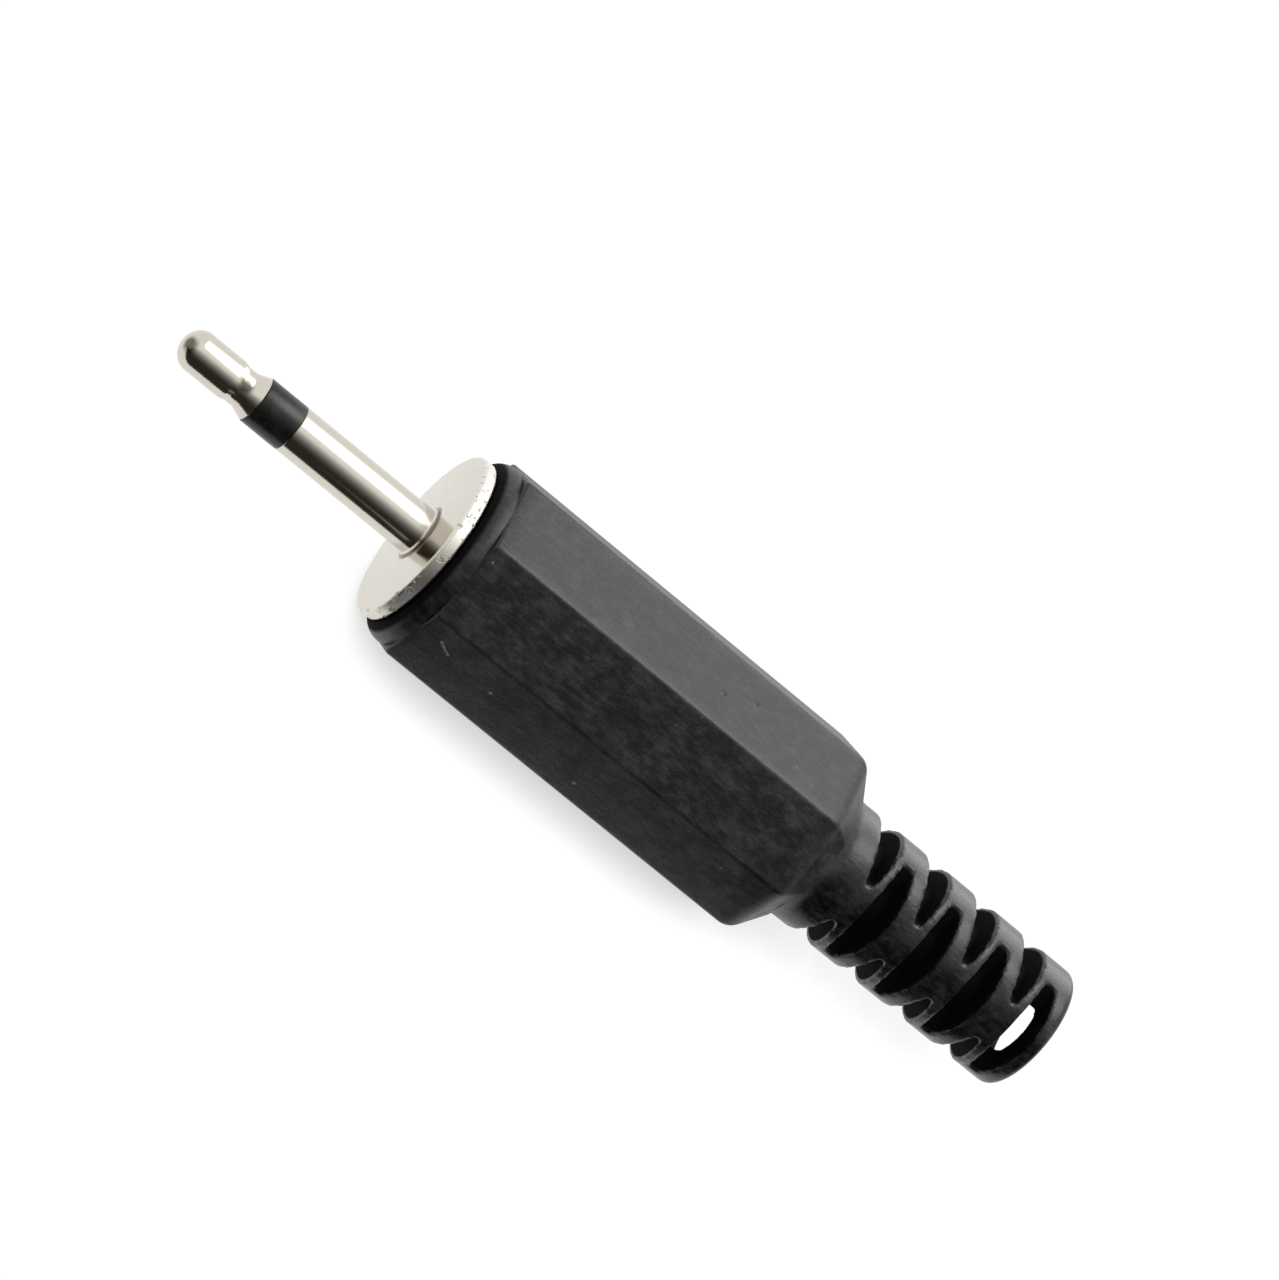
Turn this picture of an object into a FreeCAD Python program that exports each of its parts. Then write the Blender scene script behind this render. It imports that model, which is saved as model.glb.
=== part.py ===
"""Audio jack plug: a mono pin connector with an eight-sided screw-on handle.

The plug's axis lies along X. The origin is on that axis, at the front face of the flange: the
contact pin points towards -X and the cable leaves towards +X. +Z is up, and the plug lies on one
of the handle's flats. All sizes are in millimetres.
"""
import FreeCAD, Part

import os
import re

import Sketcher

DIMENSIONS = [
    # Contact pin: tip, insulating ring and barrel
    ("pin_length", 14.75, "flange face to the point of the tip"),
    ("pin_diameter", 2.5, "barrel and insulating ring"),
    ("tip_length", 4.53, "point of the tip to the insulating ring"),
    ("tip_diameter", 2.14, "parallel front part of the tip"),
    ("tip_flat", 0.12, "radius left flat at the middle of the domed end"),
    ("tip_front_length", 3.02, "point of the tip to the waist"),
    ("waist_diameter", 1.92, "waist that the socket's spring drops into"),
    ("waist_ramp", 0.3, "length of the slope into the waist"),
    ("waist_length", 0.5, "parallel part of the waist"),
    ("tip_step", 0.03, "tip's cone below the insulating ring, on the radius"),
    ("ring_length", 2.16, "visible length of the insulating ring"),
    ("rod_diameter", 0.9, "centre rod that carries the tip"),
    ("rod_clearance", 0.03, "radial, rod in its insulators"),
    ("rod_head_diameter", 1.7, "riveted end of the rod"),
    ("rod_head_length", 0.45, "riveted end of the rod"),
    ("rod_head_slope", 0.28, "chamfer of the riveted end"),
    # Sleeve: barrel, flange and threaded shank in one turned piece
    ("sleeve_bore", 1.6, "hole through the sleeve"),
    ("spigot_clearance", 0.04, "radial, insulators in the sleeve"),
    ("ring_spigot", 1.2, "length of the ring's spigot in the sleeve"),
    ("flange_diameter", 9.3, "flange"),
    ("flange_thickness", 0.75, "flange"),
    ("flange_edge", 0.14, "chamfer of the flange's edges"),
    ("thread_diameter", 7.0, "over the crests of the thread"),
    ("shank_length", 6.0, "threaded shank behind the flange"),
    ("relief_length", 0.7, "plain groove between flange and thread"),
    ("relief_depth", 0.4, "plain groove between flange and thread"),
    ("shank_chamfer", 0.4, "lead-in at the rear of the thread"),
    ("stake_diameter", 3.8, "neck that the earth lug sits on"),
    ("stake_lip_diameter", 4.5, "lip rolled over the earth lug"),
    ("stake_lip_length", 0.35, "lip rolled over the earth lug"),
    ("lug_clearance", 0.02, "radial, lugs on their necks"),
    # Earth lug: a stamped ring, a strap and two crimp wings
    ("lug_sheet", 0.4, "sheet thickness of both lugs"),
    ("earth_ring_diameter", 5.0, "ring around the neck"),
    ("strap_width", 2.8, "strap"),
    ("strap_offset", 0.1, "strap's outer face beyond the ring"),
    ("strap_setback", 3.0, "end of the strap before the end of the grip's flats"),
    ("strap_corner", 0.9, "rounded corners at the end of the strap"),
    ("strap_hole", 1.3, "solder hole in the strap"),
    ("strap_hole_reach", 4.6, "ring to the solder hole"),
    ("crimp_setback", 1.3, "crimp wings to the end of the strap"),
    ("crimp_length", 2.6, "crimp wings along the cable"),
    ("crimp_step", 0.1, "inside of the crimp wings above the strap's inner face"),
    ("crimp_wrap", 215.0, "angle that the wings cover"),
    ("bend_radius", 0.2, "inside radius of the folds"),
    # Rear insulator and tip lug
    ("bush_diameter", 3.9, "flange of the rear insulator"),
    ("bush_thickness", 0.8, "flange of the rear insulator"),
    ("bush_spigot", 0.7, "spigot of the rear insulator in the sleeve"),
    ("tip_lug_diameter", 2.6, "disc of the tip lug"),
    ("tongue_width", 1.7, "solder tongue"),
    ("tongue_offset", 0.3, "tongue's outer face beyond the disc"),
    ("tongue_length", 4.2, "disc to the end of the solder tongue"),
    ("tongue_corner", 0.7, "rounded corners at the end of the tongue"),
    ("tongue_hole", 0.8, "solder hole in the tongue"),
    # Handle: an eight-sided grip and a slotted boot moulded in one
    ("handle_gap", 0.1, "flange to the handle's front face"),
    ("thread_clearance", 0.05, "radial, shank in the handle"),
    ("grip_flats", 10.5, "across the flats of the grip"),
    ("collar_length", 0.95, "round collar in front of the flats"),
    ("collar_step", 0.03, "collar below the flats, on the radius"),
    ("collar_round", 0.85, "rounding of the collar's front edge"),
    ("grip_length", 21.85, "flats, from the collar to the shoulder"),
    ("grip_edge_round", 0.28, "rounding of the grip's edges"),
    ("shoulder_length", 1.4, "sloped shoulder behind the flats"),
    ("shoulder_step", 0.07, "rear of the shoulder above the boot, on the radius"),
    ("boot_diameter", 6.96, "boot at the shoulder"),
    ("boot_end_diameter", 6.84, "boot at its end"),
    ("boot_land", 1.44, "middle of the last slot to the end of the boot"),
    ("boot_end_round", 0.62, "rounding of the boot's end"),
    ("thread_run", 1.0, "thread in the handle beyond the shank"),
    ("lug_room", 0.3, "radial, earth lug in the chamber's rear end"),
    ("lug_end_room", 0.7, "end of the earth lug to the chamber's end"),
    ("neck_length", 1.4, "cone from the chamber to the cable bore"),
    ("cable_bore", 4.4, "hole for the cable"),
    ("bore_flare", 0.35, "chamfer of the cable bore's mouth"),
    ("slot_start", 2.28, "shoulder to the middle of the first slot"),
    ("slot_pitch", 3.17, "slot to slot on one side"),
    ("slot_rows", 4, "slots on each side"),
    ("slot_stagger", 1.38, "side slot to the crossing slot behind it"),
    ("slot_mouth", 1.48, "slot width at the boot's surface"),
    ("side_slot_floor", 1.2, "axis to the floor of the side slots"),
    ("side_slot_width", 0.36, "width of the side slots at their floor"),
    ("cross_slot_floor", 1.8, "axis to the floor of the crossing slots"),
    ("cross_slot_width", 0.55, "width of the crossing slots at their floor"),
    ("slot_angle", 54.0, "direction of the side slots, from +Y towards +Z"),
]

# Half the turn from one side of an octagon to the next, in degrees
HALF_SIDE = 22.5
# Distance under which two places are the same, and the cosine over which two directions are
SAME = 1e-3
ALONG = 0.99

# Short straight cuts that round a turned corner
CORNER_CUTS = 3

# Formulas that more than one piece follows
SPIGOT = "sleeve_bore / 2 - spigot_clearance"
ROD_HOLE = "rod_diameter / 2 + rod_clearance"
BUSH_SEAT = "flange_thickness + shank_length + lug_sheet + stake_lip_length"
STRAP_DROP = "earth_ring_diameter / 2 + strap_offset"
TONGUE_RISE = "tip_lug_diameter / 2 + tongue_offset"
LUG_END = "collar_length + grip_length - strap_setback"

doc = FreeCAD.newDocument("audio_jack_plug")


def make_sheet():
    """Put the driving dimensions in a spreadsheet, one named cell each."""
    sheet = doc.addObject("Spreadsheet::Sheet", "Dimensions")
    for row, (alias, value, meaning) in enumerate(DIMENSIONS, start=1):
        sheet.set(f"A{row}", meaning)
        sheet.set(f"B{row}", str(value))
        sheet.setAlias(f"B{row}", alias)
    doc.recompute()


def on_sheet(formula):
    """Write a formula of dimension names so that it reads the spreadsheet's cells."""
    names = {alias for alias, value, meaning in DIMENSIONS}
    return re.sub(r"[a-z_]+", lambda word: f"Dimensions.{word[0]}" if word[0] in names else word[0],
                  formula)


def bind(item, **formulas):
    """Bind properties of an object to formulas; a double underscore stands for a dot."""
    for name, formula in formulas.items():
        item.setExpression(name.replace("__", "."), on_sheet(formula))


def new_body(label, position="0"):
    """Start a sub-part whose own X = 0 lies at the given place on the plug's axis."""
    body = doc.addObject("PartDesign::Body", label)
    body.Label = label
    bind(body, Placement__Base__x=position)
    return body


def new_sketch(body, name, plane, turn="0", offset="0"):
    """Attach a sketch to one of the body's own planes, turned about or moved along X."""
    support = next(item for item in body.Origin.OriginFeatures if item.Role == plane)
    sketch = body.newObject("Sketcher::SketchObject", f"{body.Name}_{name}")
    sketch.AttachmentSupport = [(support, "")]
    sketch.MapMode = "FlatFace"
    if plane == "YZ_Plane":
        bind(sketch, AttachmentOffset__Base__z=offset)
    elif turn != "0":
        sketch.AttachmentOffset = FreeCAD.Placement(FreeCAD.Vector(), FreeCAD.Rotation(1, 0, 0, 0))
        bind(sketch, AttachmentOffset__Rotation__Axis__x="1", AttachmentOffset__Rotation__Axis__y="0",
             AttachmentOffset__Rotation__Axis__z="0", AttachmentOffset__Rotation__Angle=turn)
    return sketch


def constrain(sketch, formula, *terms):
    """Add one dimension to a sketch and bind it to a formula."""
    index = sketch.addConstraint(Sketcher.Constraint(*terms))
    sketch.setExpression(f"Constraints[{index}]", on_sheet(formula))


def ring_of_points(count, start):
    """Spread points on a circle as a sketch's rough first shape."""
    up = FreeCAD.Vector(0, 0, 1)
    return [FreeCAD.Rotation(up, start + 360 * i / count).multVec(FreeCAD.Vector(5, 0, 0))
            for i in range(count)]


def add_outline(sketch, corners):
    """Draw a closed outline whose corners each have a formula across and up the sketch."""
    first = sketch.GeometryCount
    count = len(corners)
    rough = ring_of_points(count, 0)
    for i in range(count):
        sketch.addGeometry(Part.LineSegment(rough[i], rough[(i + 1) % count]), False)
    for i in range(count):
        sketch.addConstraint(Sketcher.Constraint("Coincident", first + i, 2,
                                                 first + (i + 1) % count, 1))
    for i, (across, up) in enumerate(corners):
        constrain(sketch, across, "DistanceX", -1, 1, first + i, 1, rough[i].x)
        constrain(sketch, up, "DistanceY", -1, 1, first + i, 1, rough[i].y)


def add_circle(sketch, diameter, across="0", up="0"):
    """Draw a circle with formulas for its diameter and centre."""
    index = sketch.addGeometry(Part.Circle(FreeCAD.Vector(), FreeCAD.Vector(0, 0, 1), 5), False)
    constrain(sketch, across, "DistanceX", -1, 1, index, 3, 0)
    constrain(sketch, up, "DistanceY", -1, 1, index, 3, 0)
    constrain(sketch, diameter, "Diameter", index, 10)


def add_octagon(sketch, across_flats):
    """Draw a regular octagon about the axis, lying on a flat."""
    circle = sketch.addGeometry(Part.Circle(FreeCAD.Vector(), FreeCAD.Vector(0, 0, 1), 5), True)
    sketch.addConstraint(Sketcher.Constraint("Coincident", circle, 3, -1, 1))
    constrain(sketch, f"{across_flats} / cos({HALF_SIDE})", "Diameter", circle, 10)
    corners = ring_of_points(8, -5 * HALF_SIDE)
    sides = [sketch.addGeometry(Part.LineSegment(corners[i], corners[(i + 1) % 8]), False)
             for i in range(8)]
    for i, side in enumerate(sides):
        sketch.addConstraint(Sketcher.Constraint("Coincident", side, 2, sides[(i + 1) % 8], 1))
        sketch.addConstraint(Sketcher.Constraint("PointOnObject", side, 1, circle))
    for side in sides[1:]:
        sketch.addConstraint(Sketcher.Constraint("Equal", sides[0], side))
    sketch.addConstraint(Sketcher.Constraint("Horizontal", sides[0]))


def revolve(body, name, corners, kind="Revolution"):
    """Turn an outline, given as places along and out from the axis, about the plug's axis."""
    sketch = new_sketch(body, f"{name}_outline", "XY_Plane")
    add_outline(sketch, corners)
    feature = body.newObject(f"PartDesign::{kind}", f"{body.Name}_{name}")
    feature.Profile = sketch
    feature.ReferenceAxis = (sketch, ["H_Axis"])
    feature.Angle = 360
    return feature


def pad(body, name, sketch, length):
    """Raise a sketch of the YZ plane along X."""
    feature = body.newObject("PartDesign::Pad", f"{body.Name}_{name}")
    feature.Profile = sketch
    bind(feature, Length=length)
    return feature


def cut_through(body, name, sketch):
    """Cut a sketch through the whole body, both ways from its plane."""
    feature = body.newObject("PartDesign::Pocket", f"{body.Name}_{name}")
    feature.Profile = sketch
    feature.Type = "ThroughAll"
    feature.SideType = "Symmetric"
    return feature


def edges_of(feature, wanted):
    """Name the edges of a feature that pass a test."""
    doc.recompute()
    return [f"Edge{i}" for i, edge in enumerate(feature.Shape.Edges, start=1) if wanted(edge)]


def round_edges(body, name, feature, wanted, radius):
    """Fillet the edges of a feature that pass a test."""
    fillet = body.newObject("PartDesign::Fillet", f"{body.Name}_{name}")
    fillet.Base = (feature, edges_of(feature, wanted))
    bind(fillet, Radius=radius)
    return fillet


def turned_corner(face, rim, size, inwards):
    """Round the corner between a face and a rim of a turned outline, in short straight cuts."""
    places = []
    for i in range(CORNER_CUTS + 1):
        angle = 90 * i / CORNER_CUTS
        places.append((f"{face} {inwards} {size} * (1 - cos({angle}))",
                       f"{rim} - {size} * (1 - sin({angle}))"))
    return places if inwards == "+" else places[::-1]


def is_ring(edge):
    """Tell whether an edge is a full circle."""
    return isinstance(edge.Curve, Part.Circle) and edge.isClosed()


def make_tip_pin():
    """Tip with its domed end and waist, and the centre rod, riveted at the rear."""
    body = new_body("tip_pin", "-pin_length")
    rod_end = f"pin_length + {BUSH_SEAT} + bush_thickness + lug_sheet"
    waist_end = "tip_front_length + waist_ramp + waist_length"
    solid = revolve(body, "turned", [
        ("0", "0"),
        ("0", "tip_diameter / 2"),
        ("tip_front_length", "tip_diameter / 2"),
        ("tip_front_length + waist_ramp", "waist_diameter / 2"),
        (waist_end, "waist_diameter / 2"),
        ("tip_length", "pin_diameter / 2 - tip_step"),
        ("tip_length", "rod_diameter / 2"),
        (rod_end, "rod_diameter / 2"),
        (rod_end, "rod_head_diameter / 2"),
        (f"{rod_end} + rod_head_length - rod_head_slope", "rod_head_diameter / 2"),
        (f"{rod_end} + rod_head_length", "rod_head_diameter / 2 - rod_head_slope"),
        (f"{rod_end} + rod_head_length", "0"),
    ])
    round_edges(body, "dome", solid, lambda edge: is_ring(edge) and edge.CenterOfMass.x < SAME,
                "tip_diameter / 2 - tip_flat")


def make_tip_insulator():
    """Insulating ring between tip and barrel, with a spigot in the sleeve."""
    body = new_body("tip_insulator", "tip_length - pin_length")
    revolve(body, "moulded", [
        ("0", ROD_HOLE),
        ("0", "pin_diameter / 2"),
        ("ring_length", "pin_diameter / 2"),
        ("ring_length", SPIGOT),
        ("ring_length + ring_spigot", SPIGOT),
        ("ring_length + ring_spigot", ROD_HOLE),
    ])


def make_core_tube():
    """Insulating tube around the rod, between the two spigots in the sleeve."""
    front = "tip_length + ring_length + ring_spigot - pin_length"
    length = f"{BUSH_SEAT} - bush_spigot - ({front})"
    body = new_body("core_tube", front)
    revolve(body, "extruded", [
        ("0", ROD_HOLE),
        ("0", SPIGOT),
        (length, SPIGOT),
        (length, ROD_HOLE),
    ])


def make_sleeve():
    """Barrel, flange, threaded shank and the neck that is rolled over the earth lug."""
    body = new_body("sleeve", "tip_length + ring_length - pin_length")
    face = "pin_length - tip_length - ring_length"
    back = f"{face} + flange_thickness"
    shank = f"{back} + shank_length"
    lip = f"{shank} + lug_sheet"
    crest = "thread_diameter / 2"
    rim = "flange_diameter / 2"
    revolve(body, "turned", [
        ("0", "sleeve_bore / 2"),
        ("0", "pin_diameter / 2"),
        (face, "pin_diameter / 2"),
        (face, f"{rim} - flange_edge"),
        (f"{face} + flange_edge", rim),
        (f"{back} - flange_edge", rim),
        (back, f"{rim} - flange_edge"),
        (back, f"{crest} - relief_depth"),
        (f"{back} + relief_length", f"{crest} - relief_depth"),
        (f"{back} + relief_length", crest),
        (f"{shank} - shank_chamfer", crest),
        (shank, f"{crest} - shank_chamfer"),
        (shank, "stake_diameter / 2"),
        (lip, "stake_diameter / 2"),
        (lip, "stake_lip_diameter / 2"),
        (f"{lip} + stake_lip_length", "stake_lip_diameter / 2 - stake_lip_length / 2"),
        (f"{lip} + stake_lip_length", "sleeve_bore / 2"),
    ])


def sheet_outline(body, name, width, inner, outer):
    """Draw a lug's straight piece, centred on the axis, between two heights."""
    sketch = new_sketch(body, f"{name}_outline", "YZ_Plane")
    add_outline(sketch, [(f"-{width} / 2", outer), (f"{width} / 2", outer),
                         (f"{width} / 2", inner), (f"-{width} / 2", inner)])
    return sketch


def cut_on_axis(body, name, diameter):
    """Cut a round hole on the plug's axis through a lug's front plate."""
    sketch = new_sketch(body, f"{name}_outline", "YZ_Plane")
    add_circle(sketch, diameter)
    hole = body.newObject("PartDesign::Pocket", f"{body.Name}_{name}")
    hole.Profile = sketch
    hole.SideType = "Symmetric"
    bind(hole, Length="3 * lug_sheet")


def cut_solder_hole(body, diameter, reach):
    """Cut a solder hole down through a lug's tongue."""
    sketch = new_sketch(body, "solder_hole_outline", "XY_Plane")
    add_circle(sketch, diameter, across=reach)
    return cut_through(body, "solder_hole", sketch)


def make_earth_lug():
    """Stamped lug: a ring on the neck, a strap folded along the cable and two crimp wings."""
    body = new_body("earth_lug", "flange_thickness + shank_length")
    outer = f"-({STRAP_DROP})"
    inner = f"lug_sheet - ({STRAP_DROP})"
    length = f"handle_gap + {LUG_END} - shank_length"
    ring = new_sketch(body, "ring_outline", "YZ_Plane")
    add_circle(ring, "earth_ring_diameter")
    pad(body, "ring", ring, "lug_sheet")
    pad(body, "tab", sheet_outline(body, "tab", "strap_width", "-stake_diameter / 2", outer),
        "lug_sheet")
    pad(body, "strap", sheet_outline(body, "strap", "strap_width", inner, outer), length)
    wings = new_sketch(body, "wing_outline", "XZ_Plane")
    wings_rear = f"{length} - crimp_setback"
    add_outline(wings, [(f"{wings_rear} - crimp_length", f"{outer} + crimp_step"),
                        (wings_rear, f"{outer} + crimp_step"),
                        (wings_rear, f"{inner} + crimp_step"),
                        (f"{wings_rear} - crimp_length", f"{inner} + crimp_step")])
    roll = body.newObject("PartDesign::Revolution", "earth_lug_wings")
    roll.Profile = wings
    roll.ReferenceAxis = (wings, ["H_Axis"])
    roll.Midplane = True
    bind(roll, Angle="crimp_wrap")
    cut_on_axis(body, "neck_hole", "stake_diameter + 2 * lug_clearance")
    holed = cut_solder_hole(body, "strap_hole", "strap_hole_reach")
    drop = doc.Dimensions.earth_ring_diameter / 2 + doc.Dimensions.strap_offset
    fold_and_ends(body, holed, -drop, "strap_corner")


def fold_and_ends(body, feature, flat, corner):
    """Round a lug's fold inside and outside, and the two corners at the end of its tongue."""
    sheet = doc.Dimensions.lug_sheet
    inner = flat - sheet if flat > 0 else flat + sheet

    def is_fold(edge, along, height):
        """Tell whether an edge crosses the lug at this place."""
        middle = edge.CenterOfMass
        return (isinstance(edge.Curve, Part.Line) and abs(edge.Curve.Direction.y) > ALONG
                and abs(middle.x - along) < SAME and abs(middle.z - height) < SAME)

    inside = round_edges(body, "fold_inside", feature,
                         lambda edge: is_fold(edge, sheet, inner), "bend_radius")
    outside = round_edges(body, "fold_outside", inside,
                          lambda edge: is_fold(edge, 0, flat), "bend_radius + 0.9 * lug_sheet")
    reach = feature.Shape.BoundBox.XMax
    round_edges(body, "end", outside,
                lambda edge: (isinstance(edge.Curve, Part.Line)
                              and abs(edge.Curve.Direction.z) > ALONG
                              and edge.CenterOfMass.x > reach - SAME), corner)


def make_rear_insulator():
    """Flanged bush that keeps the tip lug off the sleeve."""
    body = new_body("rear_insulator", f"{BUSH_SEAT} - bush_spigot")
    revolve(body, "moulded", [
        ("0", ROD_HOLE),
        ("0", SPIGOT),
        ("bush_spigot", SPIGOT),
        ("bush_spigot", "bush_diameter / 2"),
        ("bush_spigot + bush_thickness", "bush_diameter / 2"),
        ("bush_spigot + bush_thickness", ROD_HOLE),
    ])


def make_tip_lug():
    """Stamped disc on the rod with a folded solder tongue."""
    body = new_body("tip_lug", f"{BUSH_SEAT} + bush_thickness")
    disc = new_sketch(body, "disc_outline", "YZ_Plane")
    add_circle(disc, "tip_lug_diameter")
    pad(body, "disc", disc, "lug_sheet")
    pad(body, "tab", sheet_outline(body, "tab", "tongue_width", "0", TONGUE_RISE), "lug_sheet")
    pad(body, "tongue", sheet_outline(body, "tongue", "tongue_width",
                                      f"{TONGUE_RISE} - lug_sheet", TONGUE_RISE), "tongue_length")
    cut_on_axis(body, "rod_hole", "rod_diameter + 2 * lug_clearance")
    holed = cut_solder_hole(body, "tongue_hole", "tongue_length - tongue_width / 2")
    rise = doc.Dimensions.tip_lug_diameter / 2 + doc.Dimensions.tongue_offset
    fold_and_ends(body, holed, rise, "tongue_corner")


def add_boot_slots(body):
    """Cut the boot's tapered slots: opposite pairs, staggered with pairs at a right angle."""
    first = "collar_length + grip_length + shoulder_length + slot_start"
    surface = "boot_diameter / 2"
    families = [
        ("side", first, "slot_angle", "side_slot_floor", "side_slot_width"),
        ("cross", f"{first} + slot_stagger", "slot_angle + 90", "cross_slot_floor",
         "cross_slot_width"),
    ]
    cuts = []
    for name, middle, turn, floor, width in families:
        sketch = new_sketch(body, f"{name}_slot_outline", "XY_Plane", turn=turn)
        for side in ("", "-"):
            add_outline(sketch, [
                (f"{middle} - {width} / 2", f"{side}{floor}"),
                (f"{middle} + {width} / 2", f"{side}{floor}"),
                (f"{middle} + slot_mouth / 2", f"{side}{surface}"),
                (f"{middle} - slot_mouth / 2", f"{side}{surface}"),
            ])
        cuts.append(cut_through(body, f"{name}_slots", sketch))
    rows = body.newObject("PartDesign::LinearPattern", "handle_slot_rows")
    rows.Originals = cuts
    rows.Direction = (cuts[0].Profile[0], ["H_Axis"])
    bind(rows, Length="slot_pitch * (slot_rows - 1)", Occurrences="slot_rows")
    body.Tip = rows


def make_handle():
    """Eight-sided grip with its collar, shoulder and slotted boot, bored for lugs and cable."""
    body = new_body("handle", "flange_thickness + handle_gap")
    flats_end = "collar_length + grip_length"
    shoulder_end = f"{flats_end} + shoulder_length"
    last_slot = f"{shoulder_end} + slot_start + slot_stagger + slot_pitch * (slot_rows - 1)"
    boot_end = f"{last_slot} + boot_land"
    octagon = new_sketch(body, "octagon", "YZ_Plane", offset="collar_length")
    add_octagon(octagon, "grip_flats")
    grip = pad(body, "grip", octagon, "grip_length + shoulder_length")
    rear = doc.Dimensions.collar_length + doc.Dimensions.grip_length + doc.Dimensions.shoulder_length
    shoulder = body.newObject("PartDesign::Chamfer", "handle_shoulder")
    shoulder.Base = (grip, edges_of(grip, lambda edge: edge.CenterOfMass.x > rear - SAME))
    shoulder.ChamferType = "Two distances"
    bind(shoulder, Size="shoulder_length", Size2="(grip_flats - boot_diameter) / 2 - shoulder_step")
    front = doc.Dimensions.collar_length
    round_edges(body, "grip_edges", shoulder,
                lambda edge: front + SAME < edge.CenterOfMass.x < rear - SAME, "grip_edge_round")
    collar_radius = "grip_flats / 2 - collar_step"
    revolve(body, "collar", [
        ("0", "0"),
        *turned_corner("0", collar_radius, "collar_round", "+"),
        ("collar_length + collar_round", collar_radius),
        ("collar_length + collar_round", "0"),
    ])
    revolve(body, "boot", [
        (flats_end, "0"),
        (flats_end, "boot_diameter / 2"),
        (shoulder_end, "boot_diameter / 2"),
        *turned_corner(boot_end, "boot_end_diameter / 2", "boot_end_round", "-"),
        (boot_end, "0"),
    ])
    thread_end = "shank_length - handle_gap + thread_run"
    chamber_end = f"{LUG_END} + lug_end_room"
    chamber_radius = f"sqrt((strap_width / 2) ^ 2 + ({STRAP_DROP}) ^ 2) + lug_room"
    thread_radius = "thread_diameter / 2 + thread_clearance"
    revolve(body, "hollow", [
        ("0", "0"),
        ("0", thread_radius),
        (thread_end, thread_radius),
        (thread_end, chamber_radius),
        (chamber_end, chamber_radius),
        (f"{chamber_end} + neck_length", "cable_bore / 2"),
        (f"{boot_end} - bore_flare", "cable_bore / 2"),
        (boot_end, "cable_bore / 2 + bore_flare"),
        (boot_end, "0"),
    ], kind="Groove")
    add_boot_slots(body)


def check(bodies):
    """Stop if any object failed or any sub-part is empty or not valid."""
    for item in doc.Objects:
        if {"Invalid", "Error"} & set(item.State):
            raise RuntimeError(f"{item.Label} failed: {item.State}")
    for body in bodies:
        if body.Shape.isNull() or not body.Shape.isValid():
            raise RuntimeError(f"{body.Label} has no valid shape")
        if len(body.Shape.Solids) != 1:
            raise RuntimeError(f"{body.Label} is not one solid")


def main():
    """Build every sub-part and write one STEP file for each."""
    make_sheet()
    make_tip_pin()
    make_tip_insulator()
    make_core_tube()
    make_sleeve()
    make_earth_lug()
    make_rear_insulator()
    make_tip_lug()
    make_handle()
    doc.recompute()
    bodies = [item for item in doc.Objects if item.TypeId == "PartDesign::Body"]
    check(bodies)
    os.makedirs("parts", exist_ok=True)
    for body in bodies:
        body.Shape.exportStep(f"parts/{body.Label}.step")
        print(f"{body.Label}: {len(body.Shape.Solids)} solid, {body.Shape.Volume:.2f} mm3")


main()
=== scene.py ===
"""Looks of an audio jack plug: a nickel-plated contact pin, a round flange and an eight-sided
black handle that ends in a slotted cable boot.

The frame's solids give where each piece starts and ends, and the panel keeps the other sizes.
Lengths are written in millimetres and turned into metres where a mesh is made.
"""
import math
from functools import reduce

import bmesh
import bpy
from bpy.props import FloatProperty, FloatVectorProperty, IntProperty, PointerProperty
from mathutils import Euler, Matrix, Vector


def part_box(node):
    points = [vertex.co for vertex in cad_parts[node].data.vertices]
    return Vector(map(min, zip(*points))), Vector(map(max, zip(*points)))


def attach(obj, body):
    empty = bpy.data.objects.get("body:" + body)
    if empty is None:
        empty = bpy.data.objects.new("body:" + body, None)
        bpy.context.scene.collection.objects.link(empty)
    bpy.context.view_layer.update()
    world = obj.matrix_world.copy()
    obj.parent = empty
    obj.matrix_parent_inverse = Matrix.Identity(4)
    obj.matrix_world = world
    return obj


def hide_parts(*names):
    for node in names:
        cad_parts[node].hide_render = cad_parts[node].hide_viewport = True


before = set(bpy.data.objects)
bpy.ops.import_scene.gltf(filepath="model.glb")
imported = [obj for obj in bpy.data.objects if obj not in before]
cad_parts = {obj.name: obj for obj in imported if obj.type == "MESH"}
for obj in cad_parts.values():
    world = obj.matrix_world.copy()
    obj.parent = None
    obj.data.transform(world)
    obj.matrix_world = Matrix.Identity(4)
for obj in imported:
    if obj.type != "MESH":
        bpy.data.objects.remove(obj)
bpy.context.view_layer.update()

bl_info = {
    "name": "Audio Jack Plug",
    "version": (1, 0, 0),
    "blender": (4, 5, 0),
    "location": "3D View > Sidebar > Jack Plug",
    "description": "Builds the visible pieces, finishes and stage of an audio jack plug",
    "category": "Add Mesh",
}

MM = 0.001
FULL_TURN = 2 * math.pi
SHARP_ANGLE = math.radians(38)
ON_AXIS = 1e-6
THREAD_PITCH = 0.75
ROD_RADIUS = 0.45
SLEEVE_BORE = 0.8


def in_mm(length):
    """Turn a length in metres into millimetres."""
    return length / MM


def cad_span(node):
    """Front and rear of a node along the plug, in millimetres."""
    low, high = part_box(node)
    return in_mm(low.x), in_mm(high.x)


TIP_FRONT, ROD_REAR = cad_span("tip_pin")
RING_FRONT, SPIGOT_REAR = cad_span("tip_insulator")
BARREL_FRONT, SLEEVE_REAR = cad_span("sleeve")
HANDLE_FRONT, HANDLE_REAR = cad_span("handle")
FLOOR = in_mm(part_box("handle")[0].z)


def length(name, description, millimetres):
    """A size of the panel, in metres."""
    return FloatProperty(name=name, description=description, default=millimetres * MM,
                         min=0, unit="LENGTH", subtype="DISTANCE", precision=5)


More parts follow.
